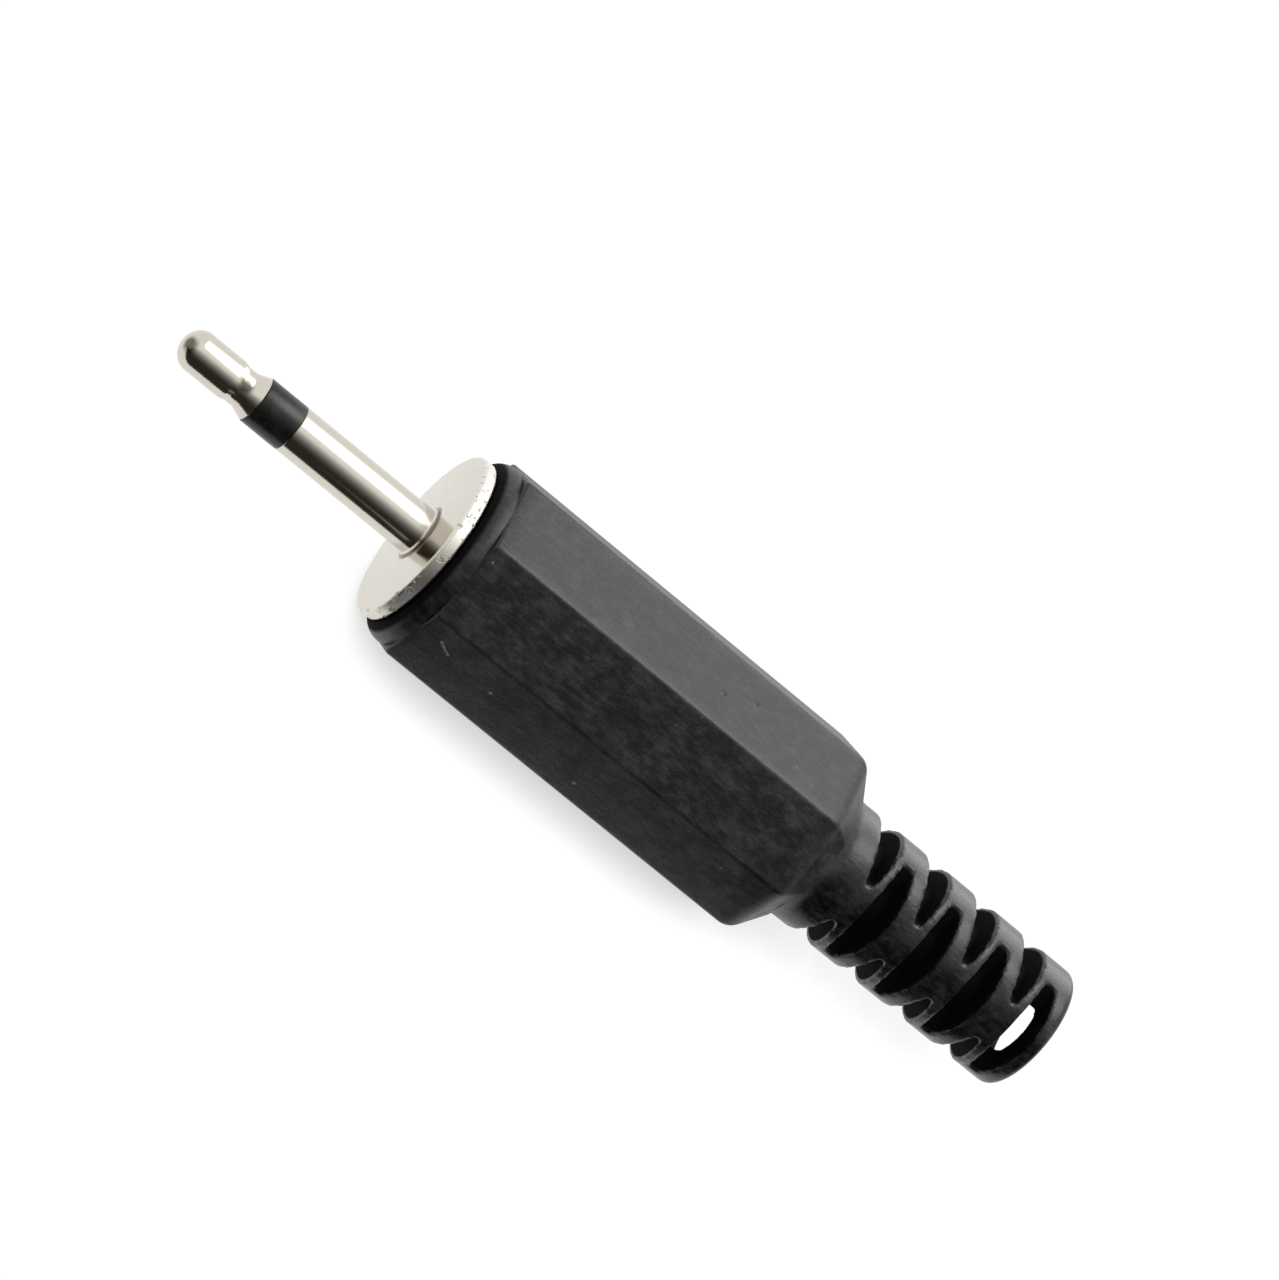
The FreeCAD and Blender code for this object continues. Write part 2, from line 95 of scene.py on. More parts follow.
def colour(name, description, value):
    """A colour of the panel."""
    return FloatVectorProperty(name=name, description=description, default=value, size=3,
                               min=0, max=1, subtype="COLOR")


class PinSizes(bpy.types.PropertyGroup):
    """Sizes of the tip, the insulating ring, the barrel and the flange."""
    barrel_radius: length("Barrel radius", "Barrel and insulating ring", 1.25)
    tip_radius: length("Tip radius", "Parallel front part of the tip", 1.07)
    waist_radius: length("Waist radius", "Groove that the socket's spring drops into", 0.98)
    tip_front: length("Tip front", "Point of the tip to the waist", 3.02)
    waist_ramp: length("Waist ramp", "Slope into the waist", 0.3)
    waist_run: length("Waist run", "Parallel part of the waist", 0.5)
    flange_radius: length("Flange radius", "Round flange", 4.65)
    flange_thickness: length("Flange thickness", "Round flange", 0.75)
    thread_radius: length("Thread radius", "Crests of the shank's thread", 3.5)
    thread_depth: length("Thread depth", "Crest to root", 0.4)
    thread_pitch: length("Thread pitch", "Crest to crest", THREAD_PITCH)
    segments: IntProperty(name="Segments", description="Faces around a turned piece",
                          default=144, min=24, max=256)


class HandleSizes(bpy.types.PropertyGroup):
    """Sizes of the eight-sided grip and its boot."""
    flat_radius: length("Flat radius", "Axis to the flats of the grip", 5.25)
    edge_round: length("Edge rounding", "Long edges of the grip", 0.28)
    collar_radius: length("Collar radius", "Round collar in front of the flats", 5.22)
    collar_round: length("Collar rounding", "Front edge of the collar", 0.85)
    collar_ease: length("Collar ease", "How far the front edge is rounded inwards", 0.6)
    collar_run: length("Collar length", "Front face to the flats", 0.95)
    grip_run: length("Grip length", "Flats between collar and shoulder", 21.85)
    shoulder_run: length("Shoulder length", "Slopes behind the flats", 1.4)
    boot_radius: length("Boot radius", "Boot at the shoulder", 3.48)
    boot_end_radius: length("Boot end radius", "Boot at its end", 3.42)
    boot_end_round: length("Boot end rounding", "Outer edge of the boot's end", 0.62)
    cable_radius: length("Cable hole radius", "Hole through the boot", 2.2)
    inner_radius: length("Inner hole radius", "Cable hole ahead of the last slot", 1.9)
    slot_start: length("First slot", "Shoulder to the middle of the first slot", 2.28)
    slot_pitch: length("Slot pitch", "Slot to slot on one side", 3.17)
    slot_stagger: length("Slot stagger", "Side slot to the crossing slot behind it", 1.38)
    slot_mouth: length("Slot mouth", "Width of a slot at the surface", 1.48)
    slot_rows: IntProperty(name="Slot rows", description="Slots on each side", default=4, min=1,
                           max=8)


class Finishes(bpy.types.PropertyGroup):
    """Colours of the finishes."""
    nickel: colour("Nickel", "Bright nickel plating", (0.66, 0.62, 0.545))
    tin: colour("Tin", "Tin-plated lugs", (0.72, 0.69, 0.63))
    handle: colour("Handle", "Black moulded plastic", (0.011, 0.011, 0.0125))
    ring: colour("Ring", "Black insulating ring", (0.006, 0.006, 0.006))
    bush: colour("Bush", "Natural moulded plastic", (0.75, 0.72, 0.65))


# Shader expressions

class Wire:
    """A shader socket that takes part in Python expressions, each adding a Math node."""

    def __init__(self, finish, socket):
        self.finish = finish
        self.socket = socket

    def maths(self, operation, *values):
        """Put values through a Math node."""
        return self.finish.node("ShaderNodeMath", {"operation": operation},
                                dict(enumerate(values)))

    def __add__(self, other):
        return self.maths("ADD", self, other)

    def __radd__(self, other):
        return self.maths("ADD", other, self)

    def __sub__(self, other):
        return self.maths("SUBTRACT", self, other)

    def __rsub__(self, other):
        return self.maths("SUBTRACT", other, self)

    def __mul__(self, other):
        return self.maths("MULTIPLY", self, other)

    def __rmul__(self, other):
        return self.maths("MULTIPLY", other, self)

    def __pow__(self, other):
        return self.maths("POWER", self, other)

    def size(self):
        """The value without its sign."""
        return self.maths("ABSOLUTE", self)

    def at_most(self, other):
        """The lower of two values."""
        return self.maths("MINIMUM", self, other)

    def at_least(self, other):
        """The higher of two values."""
        return self.maths("MAXIMUM", self, other)

    def fade(self, low, high):
        """0 below the first value and 1 above the second, smooth between them."""
        return self.finish.node("ShaderNodeMapRange", {"interpolation_type": "SMOOTHSTEP"},
                                {"Value": self, "From Min": low, "From Max": high})


class Finish:
    """A procedural material, or the world, that is being put together."""

    def __init__(self, owner):
        owner.use_nodes = True
        self.tree = owner.node_tree
        self.tree.nodes.clear()

    @classmethod
    def material(cls, name):
        """Start a new material."""
        made = bpy.data.materials.new(name)
        finish = cls(made)
        finish.made = made
        return finish

    def node(self, kind, settings=None, inputs=None, output=0):
        """Add a node: its settings come first, then the values or links of its sockets."""
        node = self.tree.nodes.new(kind)
        for name, value in (settings or {}).items():
            setattr(node, name, value)
        for name, value in (inputs or {}).items():
            socket = node.inputs[name]
            if isinstance(value, Wire):
                self.tree.links.new(value.socket, socket)
            elif socket.type == "RGBA" and len(value) == 3:
                socket.default_value = (*value, 1)
            else:
                socket.default_value = value
        return Wire(self, node.outputs[output]) if node.outputs else None

    def place(self):
        """The point of the surface in millimetres, in the plug's own frame."""
        point = self.node("ShaderNodeTexCoord", output="Object")
        return self.node("ShaderNodeVectorMath", {"operation": "SCALE"},
                         {0: point, "Scale": 1 / MM})

    def stretched(self, point, along, around):
        """The point with its scale along and across the plug changed."""
        return self.node("ShaderNodeVectorMath", {"operation": "MULTIPLY"},
                         {0: point, 1: (along, around, around)})

    def moved(self, point, amount):
        """The point moved by an amount along each of its three axes."""
        return self.node("ShaderNodeVectorMath", {"operation": "ADD"}, {0: point, 1: amount})

    def part(self, point, axis):
        """One of the three parts of a point."""
        return self.node("ShaderNodeSeparateXYZ", None, {0: point}, axis)

    def out_from_axis(self, point):
        """Distance of the point from the plug's axis."""
        across, up = self.part(point, "Y"), self.part(point, "Z")
        return (across * across + up * up) ** 0.5

    def noise(self, point, scale, detail=3.0, roughness=0.5):
        """Soft noise from 0 to 1, with features of about 1 / scale millimetres."""
        return self.node("ShaderNodeTexNoise", None,
                         {"Vector": point, "Scale": scale, "Detail": detail,
                          "Roughness": roughness})

    def cells(self, point, scale):
        """Distance to the nearest of many scattered points."""
        return self.node("ShaderNodeTexVoronoi", None, {"Vector": point, "Scale": scale})

    def near(self, point, centre, radius):
        """1 at a place on the surface, falling to 0 at a radius from it."""
        away = self.node("ShaderNodeVectorMath", {"operation": "DISTANCE"},
                         {0: point, 1: centre}, "Value")
        return 1 - away.fade(radius * 0.4, radius)

    def near_any(self, point, marks):
        """The same for several marks, each a place and a radius."""
        return reduce(Wire.at_least, [self.near(point, *mark) for mark in marks])

    def mixed(self, share, low, high):
        """Mix two colours."""
        return self.node("ShaderNodeMix", {"data_type": "RGBA"}, {0: share, 6: low, 7: high}, 2)

    def bump(self, height, distance):
        """Raise the surface by a height, whose full value is a distance in millimetres."""
        return self.node("ShaderNodeBump", None, {"Height": height, "Distance": distance * MM})

    def glow(self, shade, strength=1.0):
        """A shader that gives light."""
        return self.node("ShaderNodeEmission", None, {"Color": shade, "Strength": strength})

    def blend(self, share, first, second):
        """Mix two shaders."""
        return self.node("ShaderNodeMixShader", None, {0: share, 1: first, 2: second})

    def principled(self, **values):
        """A Principled shader; underscores in the names stand for spaces."""
        inputs = {name.replace("_", " "): value for name, value in values.items()}
        return self.node("ShaderNodeBsdfPrincipled", None, inputs)

    def done(self, shader):
        """Give the material its surface and return it."""
        self.node("ShaderNodeOutputMaterial", None, {"Surface": shader})
        return self.made

    def surface(self, **values):
        """Finish with one Principled surface."""
        return self.done(self.principled(**values))

    def seen(self):
        """1 for rays from the camera and those mirrored or passed on, 0 for soft light."""
        rays = "ShaderNodeLightPath"
        return self.node(rays, output="Is Camera Ray").at_least(
            self.node(rays, output="Is Glossy Ray")).at_least(
            self.node(rays, output="Is Transmission Ray"))


def scaled(shade, factor):
    """A colour made lighter or darker."""
    return tuple(min(1.0, part * factor) for part in shade)


# Finishes

WHITE = (1.0, 1.0, 1.0)
BLACK = (0.0, 0.0, 0.0)
DUST_GREY = (0.30, 0.30, 0.29)
STREAK_GREY = (0.07, 0.07, 0.075)
NICKED_BRASS = (0.16, 0.13, 0.09)
BARE_BRASS = (0.55, 0.42, 0.22)
# Colour of the painted dark reflections on the tip.
PAINTED_REFLECTION_DARK = (0.055, 0.05, 0.035)
ROOT_BROWN = (0.09, 0.07, 0.045)
# Rim colour: rubbed nickel, partly a painted highlight.
RUBBED_NICKEL_AND_SHEEN = (0.95, 0.93, 0.87)

# Marks on the surfaces, in millimetres: each is a place and a radius. The dust lies on the
# grip's side and the pits on its top, and the dust and the painted reflections have wavy edges.
DUST = [((x, -5.15, z), size) for x, z, size in (
    (6.67, 0.42, 0.13), (12.93, -0.83, 0.14), (3.13, 1.06, 0.12), (3.25, 0.98, 0.12),
    (3.37, 0.91, 0.13), (3.49, 0.83, 0.12), (3.61, 0.76, 0.11), (3.73, 0.68, 0.11),
    (3.85, 0.61, 0.10))]
PITS = (((15.33, -0.31, 5.25), 0.2), ((17.12, 0.48, 5.25), 0.16))
# Painted dark reflections on the tip's dome and on its waist.
PAINTED_REFLECTION_SPOTS = (((-14.45, -0.34, 0.72), 0.56), ((-11.1, -0.38, 0.99), 0.5))

# Stretches in millimetres where a finish or painted shade changes, first those along the plug.
# Ahead of this stretch the face behind the flange gets painted shade.
PAINTED_SHADE_FRONT = (0.98, 1.2)
STREAKS_END = (24.0, 26.0)
SHINE_START = (25.0, 26.0)
SLOTS_START = (25.25, 25.4)
RIM_BACK = (1.0, 1.2)
ROOT_PLACE, ROOT_WIDTH = -0.05, (0.04, 0.07)

# The same out from the axis. The boot's skin bends inwards at its end, by a slope.
GRIP_EDGE = (5.5, 5.63)
# Inside this radius the boot's slot walls get painted shade.
BOOT_SKIN = (3.2, 3.34)
BEND_START, BEND_SLOPE = 38.9, 0.9
RIM_OUT = (4.42, 4.58)
ROOT_OUT = (1.5, 1.6)


def handle_plastic(base):
    """Satin black plastic: fine grain, drawn streaks, dust and polished edges, which are
    lightened partly as wear and partly as a painted highlight, with painted shade on the face
    behind the flange and on the slot walls."""
    finish = Finish.material("satin_black")
    point = finish.place()
    along = finish.part(point, "X")
    radius = finish.out_from_axis(point)
    grain = finish.noise(point, 7.0, 5.0, 0.62)
    mottle = finish.noise(point, 0.9, 4.0, 0.6)
    streaks = finish.noise(finish.stretched(point, 0.8, 2.2), 1.7, 5.0, 0.7)
    fine_streaks = finish.noise(finish.stretched(point, 0.35, 9.0), 1.3, 3.0)
    specks = 1 - finish.cells(point, 0.85).fade(0.02, 0.075)
    specks = specks * finish.noise(point, 0.45).fade(0.52, 0.62)
    edge = radius.fade(*GRIP_EDGE)
    scratches = (1 - (fine_streaks - 0.5).size().fade(0.0, 0.012)) * mottle.fade(0.5, 0.6)
    pits = finish.near_any(point, PITS)
    dust = finish.near_any(finish.moved(point, grain * 0.2), DUST)
    streaked = streaks.fade(0.6, 0.74) * mottle.fade(0.45, 0.6)
    streaked = streaked * (1 - along.fade(*STREAKS_END))
    pale = (streaks.fade(0.42, 0.7) * 0.55 + mottle.fade(0.4, 0.68) * 0.45).at_most(1.0)
    shade = finish.mixed(pale, scaled(base, 0.25), scaled(base, 2.9))
    # The grip's long edges are lightened, partly as wear and partly as a painted highlight.
    shade = finish.mixed(edge * 0.2, shade, scaled(base, 3.0))
    shade = finish.mixed(scratches * 0.35, shade, scaled(base, 12.0))
    shade = finish.mixed((specks * 0.6).at_least(dust * 0.5), shade, DUST_GREY)
    shade = finish.mixed(streaked * 0.3, shade, STREAK_GREY)
    shade = finish.mixed(pits, shade, BLACK)
    rough = 0.43 - along.fade(*SHINE_START) * 0.16 - edge * 0.08
    rough = rough + (mottle - 0.5) * 0.22 + (streaks - 0.5) * 0.16
    relief = grain * 0.6 + streaks * 0.6 + mottle * 1.2 + specks * 0.5 - pits * 1.2
    satin = finish.principled(Base_Color=shade, Roughness=rough, Specular_IOR_Level=0.42,
                              Normal=finish.bump(relief, 0.022))
    # Painted shade: a dark, rough shader laid over the slot walls and the face behind the flange.
    painted_shade = finish.principled(Base_Color=scaled(base, 0.3), Roughness=0.8,
                             Specular_IOR_Level=0.06)
    skin = radius + (along - BEND_START).at_least(0.0) * BEND_SLOPE
    in_slot = (1 - skin.fade(*BOOT_SKIN)) * along.fade(*SLOTS_START)
    painted_shade_share = in_slot.at_least(1 - along.fade(*PAINTED_SHADE_FRONT))
    return finish.done(finish.blend(painted_shade_share, satin, painted_shade))


def ring_plastic(base):
    """Glossier black plastic of the insulating ring, with fine turning marks."""
    finish = Finish.material("ring_plastic")
    point = finish.place()
    lines = finish.noise(finish.stretched(point, 9.0, 0.3), 2.0, 4.0)
    mottle = finish.noise(point, 2.2, 4.0)
    shade = finish.mixed(mottle.fade(0.4, 0.7), base, scaled(base, 2.2))
    rough = 0.27 + (mottle - 0.5) * 0.2 + (lines - 0.5) * 0.12
    return finish.surface(Base_Color=shade, Roughness=rough, Specular_IOR_Level=0.35,
                          Normal=finish.bump(lines + mottle, 0.006))


def nickel_plating(base):
    """Bright nickel on turned brass: faint tool marks, soft waves, painted dark reflections on
    the tip's dome and waist, tarnish at the barrel's root, and nicks on the rim, which is
    lightened partly as rubbed wear and partly as a painted highlight."""
    finish = Finish.material("nickel_plating")
    point = finish.place()
    along = finish.part(point, "X")
    radius = finish.out_from_axis(point)
    rings = finish.noise(finish.stretched(point, 6.0, 0.12), 3.0, 4.0, 0.6)
    waves = finish.noise(point, 0.8, 3.0)
    cloud = finish.noise(point, 1.7, 5.0, 0.6)
    rim = radius.fade(*RIM_OUT) * (1 - along.fade(*RIM_BACK))
    nicks = finish.noise(point, 2.6, 4.0, 0.7).fade(0.56, 0.64) * rim
    pits = 1 - finish.cells(point, 2.1).fade(0.10, 0.22)
    pits = pits * finish.noise(point, 1.1).fade(0.5, 0.6) * rim
    # Painted dark reflections on the tip's dome and waist.
    painted_reflection = finish.near_any(finish.moved(point, cloud * 0.25), PAINTED_REFLECTION_SPOTS)
    root = 1 - (along - ROOT_PLACE).size().fade(*ROOT_WIDTH)
    root = root * (1 - radius.fade(*ROOT_OUT))
    shade = finish.mixed(cloud.fade(0.35, 0.75), base, scaled(base, 0.96))
    shade = finish.mixed((nicks * 0.3 + pits * 0.6).at_most(1.0), shade, NICKED_BRASS)
    shade = finish.mixed(painted_reflection * 0.85, shade, PAINTED_REFLECTION_DARK)
    shade = finish.mixed(root * 0.8, shade, ROOT_BROWN)
    # The rim is lightened, partly as rubbed wear and partly as a painted highlight.
    shade = finish.mixed(rim * 0.5 * (1 - nicks) * (1 - pits), shade, RUBBED_NICKEL_AND_SHEEN)
    rough = 0.16 + (cloud - 0.5) * 0.08 + rim * 0.26 + nicks * 0.25 + (rings - 0.5) * 0.04
    relief = rings * 0.02 + waves * 0.2 - nicks * 2.0 - pits * 3.0
    return finish.surface(Base_Color=shade, Metallic=1.0, Roughness=rough.at_least(0.05),
                          Normal=finish.bump(relief, 0.012))


def tinned_sheet(base):
    """Dull tin over stamped brass, with soft clouds, rolling marks and bare spots."""
    finish = Finish.material("tinned_sheet")
    point = finish.place()
    rolled = finish.noise(finish.stretched(point, 0.4, 6.0), 2.2, 4.0)
    cloud = finish.noise(point, 1.2, 5.0, 0.6)
    spots = 1 - finish.cells(point, 2.4).fade(0.05, 0.2)
    shade = finish.mixed(cloud.fade(0.4, 0.75), base, scaled(base, 0.82))
    shade = finish.mixed(spots * 0.35, shade, BARE_BRASS)
    rough = 0.32 + (cloud - 0.5) * 0.24 + (rolled - 0.5) * 0.16
    return finish.surface(Base_Color=shade, Metallic=1.0, Roughness=rough,
                          Normal=finish.bump(rolled + cloud, 0.012))


def natural_plastic(base):
    """Unpainted moulded plastic with faint clouds and a fine grain."""
    finish = Finish.material("natural_plastic")
    point = finish.place()
    cloud = finish.noise(point, 1.1, 4.0)
    grain = finish.noise(point, 8.0, 3.0)
    shade = finish.mixed(cloud.fade(0.35, 0.75), base, scaled(base, 0.86))
    rough = 0.48 + (cloud - 0.5) * 0.2 + (grain - 0.5) * 0.1
    return finish.surface(Base_Color=shade, Roughness=rough, Subsurface_Weight=0.08,
                          Subsurface_Scale=0.6 * MM, Normal=finish.bump(grain + cloud, 0.01))


# Mesh tools

def rounded(corners, cuts=5):
    """Round the corners of an outline; a corner is its place along, out, and its radius."""
    places = []
    last = len(corners) - 1
    for i, (x, r, size) in enumerate(corners):
        if size == 0 or i in (0, last):
            places.append((x, r))
            continue
        here = Vector((x, r))
        back = Vector(corners[i - 1][:2]) - here
        ahead = Vector(corners[i + 1][:2]) - here
        half = back.angle(ahead) / 2
        reach = min(size / math.tan(half), 0.48 * back.length, 0.48 * ahead.length)
        size = reach * math.tan(half)
        inwards = (back.normalized() + ahead.normalized()).normalized()
        middle = here + inwards * size / math.sin(half)
        start = here + back.normalized() * reach - middle
        turn = start.angle_signed(here + ahead.normalized() * reach - middle)
        for step in range(cuts + 1):
            angle = -turn * step / cuts
            c, s = math.cos(angle), math.sin(angle)
            places.append((middle.x + start.x * c - start.y * s,
                           middle.y + start.x * s + start.y * c))
    return places


def spun_mesh(name, rows, angles, closed):
    """Join rows of points around the axis; a row is its place along and a radius per angle."""
    mesh = bpy.data.meshes.new(name)
    build = bmesh.new()
    grid = []
    for x, radii in rows:
        if max(radii) < ON_AXIS:
            grid.append([build.verts.new((x * MM, 0, 0))])
            continue
        grid.append([build.verts.new((x * MM, r * MM * math.cos(a), r * MM * math.sin(a)))
                     for r, a in zip(radii, angles)])
    pairs = list(zip(grid, grid[1:]))
    if closed:
        pairs.append((grid[-1], grid[0]))
    count = len(angles)
    for front, rear in pairs:
        for i in range(count):
            k = (i + 1) % count
            corners = [front[i % len(front)], rear[i % len(rear)], rear[k % len(rear)],
                       front[k % len(front)]]
            corners = list(dict.fromkeys(corners))
            if len(corners) > 2:
                build.faces.new(corners)
    bmesh.ops.recalc_face_normals(build, faces=build.faces)
    build.to_mesh(mesh)
    build.free()
    return mesh


def even_angles(count):
    """Angles spread evenly about the axis."""
    return [FULL_TURN * i / count for i in range(count)]


def add_piece(name, mesh):
    """Put a mesh in the scene as an object."""
    piece = bpy.data.objects.new(name, mesh)
    bpy.context.scene.collection.objects.link(piece)
    return piece


def smooth(piece, angle=SHARP_ANGLE):
    """Shade smoothly, with edges sharp where the surface turns by more than an angle."""
    piece.data.shade_smooth()
    piece.data.set_sharp_from_angle(angle=angle)


def modify(piece, kind, **settings):
    """Add a modifier and make its result the piece's mesh."""
    modifier = piece.modifiers.new(kind.lower(), kind)
    for name, value in settings.items():
        setattr(modifier, name, value)
    bpy.context.view_layer.update()
    graph = bpy.context.evaluated_depsgraph_get()
    mesh = bpy.data.meshes.new_from_object(piece.evaluated_get(graph))
    piece.modifiers.clear()
    piece.data = mesh


def fit(piece, body, finish, slot, *nodes):
    """Paint a piece, let it ride on its body and stand for its solids."""
    piece.data.materials.clear()
    piece.data.materials.append(finish)
    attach(piece, body)
    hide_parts(*nodes)


def finish_named(name, maker, base):
    """Make a finish once and use it again after that."""
    return bpy.data.materials.get(name) or maker(tuple(base))


def turned(name, places, count, closed=True):
    """Turn an outline of plain places about the axis."""
    rows = [(x, [r] * count) for x, r in places]
    return add_piece(name, spun_mesh(name, rows, even_angles(count), closed))


# Pieces

DOME_TURN = math.radians(84)
DOME_STEPS = 16
HEAD_LENGTH, HEAD_RADIUS = 0.45, 0.85


class JACKPLUG_OT_tip(bpy.types.Operator):
    """Turn the tip with its domed end, waist, centre rod and riveted head"""
    bl_idname = "jackplug.tip"
    bl_label = "Tip and rod"

    def execute(self, context):
        sizes = context.scene.jack_pin
        tip, waist = in_mm(sizes.tip_radius), in_mm(sizes.waist_radius)
        barrel = in_mm(sizes.barrel_radius)
        ramp = TIP_FRONT + in_mm(sizes.tip_front)
        groove = ramp + in_mm(sizes.waist_ramp)
        cone = groove + in_mm(sizes.waist_run)
        dome = []
        dome_length = tip - 0.1
        for i in range(DOME_STEPS + 1):
            angle = DOME_TURN * i / DOME_STEPS
            dome.append((TIP_FRONT + dome_length * (1 - math.cos(angle)),
                         tip * math.sin(angle) / math.sin(DOME_TURN)))
        body = rounded([
            (dome[-1][0], tip, 0), (ramp, tip, 0.25), (groove, waist, 0.2), (cone, waist, 0.25),
            (RING_FRONT - 0.05, barrel - 0.03, 0), (RING_FRONT - 0.01, barrel - 0.05, 0),
            (RING_FRONT - 0.01, ROD_RADIUS, 0),
        ])
        head_front = ROD_REAR - HEAD_LENGTH
        head = rounded([
            (head_front, ROD_RADIUS, 0), (head_front, HEAD_RADIUS, 0.08),
            (ROD_REAR, HEAD_RADIUS - 0.07, 0.34), (ROD_REAR, 0, 0),
        ])
        piece = turned("tip_turned", dome + body[1:] + head, sizes.segments, closed=False)
        smooth(piece, math.radians(30))
        finish = finish_named("nickel_plating", nickel_plating, context.scene.jack_finish.nickel)
        fit(piece, "core", finish, "nickel", "tip_pin")
        return {"FINISHED"}


class JACKPLUG_OT_ring(bpy.types.Operator):
    """Mould the black insulating ring between tip and barrel"""
    bl_idname = "jackplug.ring"
    bl_label = "Insulating ring"

    def execute(self, context):
        sizes = context.scene.jack_pin
        barrel = in_mm(sizes.barrel_radius)
        bore, spigot = ROD_RADIUS + 0.03, SLEEVE_BORE - 0.04
        piece = turned("ring_moulded", rounded([
            (RING_FRONT, bore, 0), (RING_FRONT, barrel, 0.04), (BARREL_FRONT, barrel, 0.04),
            (BARREL_FRONT, spigot, 0.02), (SPIGOT_REAR, spigot, 0.05), (SPIGOT_REAR, bore, 0),
        ], 3), sizes.segments)
        smooth(piece)
        finish = finish_named("ring_plastic", ring_plastic, context.scene.jack_finish.ring)
        fit(piece, "core", finish, "black_insulator", "tip_insulator")
        return {"FINISHED"}


THREAD_END, SHANK_END = 6.35, 6.75
NECK_RADIUS, LIP_RADIUS = 1.9, 2.25
STEPS_PER_TURN = 16
LEAD_SLOPE = 1.6

# Shares of half a turn that the thread's crest and its flank take.
THREAD_CREST, THREAD_FLANK = 0.2, 0.62


class JACKPLUG_OT_sleeve(bpy.types.Operator):
    """Turn the barrel and flange, cut the shank's thread and roll the rear lip"""
    bl_idname = "jackplug.sleeve"
    bl_label = "Barrel, flange and thread"

    def execute(self, context):
        sizes = context.scene.jack_pin
        count = sizes.segments
        barrel, rim = in_mm(sizes.barrel_radius), in_mm(sizes.flange_radius)
        back = in_mm(sizes.flange_thickness)
        crest, depth = in_mm(sizes.thread_radius), in_mm(sizes.thread_depth)
        pitch = in_mm(sizes.thread_pitch)
        root = crest - depth
        thread_start = back + 0.7
        front = rounded([
            (BARREL_FRONT, SLEEVE_BORE, 0), (BARREL_FRONT, barrel, 0.05), (-0.16, barrel, 0.06),
            (-0.07, barrel + 0.17, 0.06), (-0.012, barrel + 0.2, 0.02),
            (0, barrel + 0.3, 0.02), (0, rim, 0.2), (back, rim, 0.16),
            (back, root, 0.06), (thread_start, root, 0),
        ])
        rows = [(x, [r] * count) for x, r in front]
        angles = even_angles(count)
        steps = round((SHANK_END - thread_start) / pitch * STEPS_PER_TURN)
        for i in range(1, steps + 1):
            x = thread_start + (SHANK_END - thread_start) * i / steps
            lead = root + (x - thread_start) * LEAD_SLOPE
            chamfer = crest - max(0.0, x - THREAD_END)
            rows.append((x, [min(thread_height(x, a, crest, depth, pitch), lead, chamfer)
                             for a in angles]))
        lip = SHANK_END + 0.4
        rear = rounded([
            (SHANK_END, root, 0), (SHANK_END, NECK_RADIUS, 0.03), (lip, NECK_RADIUS, 0.02),
            (lip, LIP_RADIUS, 0.14), (SLEEVE_REAR, LIP_RADIUS - 0.15, 0.2),
            (SLEEVE_REAR, SLEEVE_BORE, 0),
        ])
        rows += [(x, [r] * count) for x, r in rear[1:]]
        piece = add_piece("sleeve_turned", spun_mesh("sleeve_turned", rows, angles, True))
        smooth(piece)
        finish = finish_named("nickel_plating", nickel_plating, context.scene.jack_finish.nickel)
        fit(piece, "core", finish, "nickel", "sleeve")
        return {"FINISHED"}


def thread_height(x, angle, crest, depth, pitch):
    """Radius of a right-handed thread at a place along and about the axis."""
    turn = (x / pitch - angle / FULL_TURN) % 1
    valley = (abs(turn - 0.5) * 2 - THREAD_CREST) / THREAD_FLANK
    return crest - depth * min(1.0, max(0.0, valley))


SIDES = 8
HALF_SIDE = math.pi / SIDES

# Inside of the handle, in millimetres: its mouth, the thread for the shank, the wire chamber.
MOUTH_RADIUS = 3.9
NUT_END, NUT_RADIUS, NUT_DEPTH, NUT_STEPS = 7.75, 3.55, 0.33, 130
CHAMBER_RADIUS = 3.25

# Slots of the boot: their turn about the axis in degrees, then the height of their floor above
# the axis and its width, in millimetres.
SIDE_SLOTS = (54, 1.2, 0.36)
CROSS_SLOTS = (144, 1.8, 0.55)
SLOT_REACH = 6

# The boot's open end behind its liner, and the grid on which its edges are softened.
OPEN_END = 2.3
SOFTENING = 0.115
BOOT_SEGMENTS, LINER_SEGMENTS = 128, 96


def grip_angles():
    """Angles about the axis, close together at the octagon's corners."""
    offsets = [*range(-20, 21, 4), 20.9, 21.7, 22.5, 23.3, 24.1]
    return [2 * HALF_SIDE * side + math.radians(offset)
            for side in range(SIDES) for offset in offsets]


def octagon_radius(angle, flat, edge):
    """Distance from the axis to an octagon whose corners are rounded."""
    off = abs((angle + HALF_SIDE) % (2 * HALF_SIDE) - HALF_SIDE)
    tangent = math.atan((flat - edge) * math.tan(HALF_SIDE) / flat)
    if off <= tangent:
        return flat / math.cos(off)
    centre = (flat - edge) / math.cos(HALF_SIDE)
    away = HALF_SIDE - off
    return centre * math.cos(away) + math.sqrt(edge ** 2 - (centre * math.sin(away)) ** 2)


def handle_places(sizes):
    """Places along the plug of the flats' start and end and of the shoulder's end."""
    flats_start = HANDLE_FRONT + in_mm(sizes.collar_run)
    flats_end = flats_start + in_mm(sizes.grip_run)
    return flats_start, flats_end, flats_end + in_mm(sizes.shoulder_run)


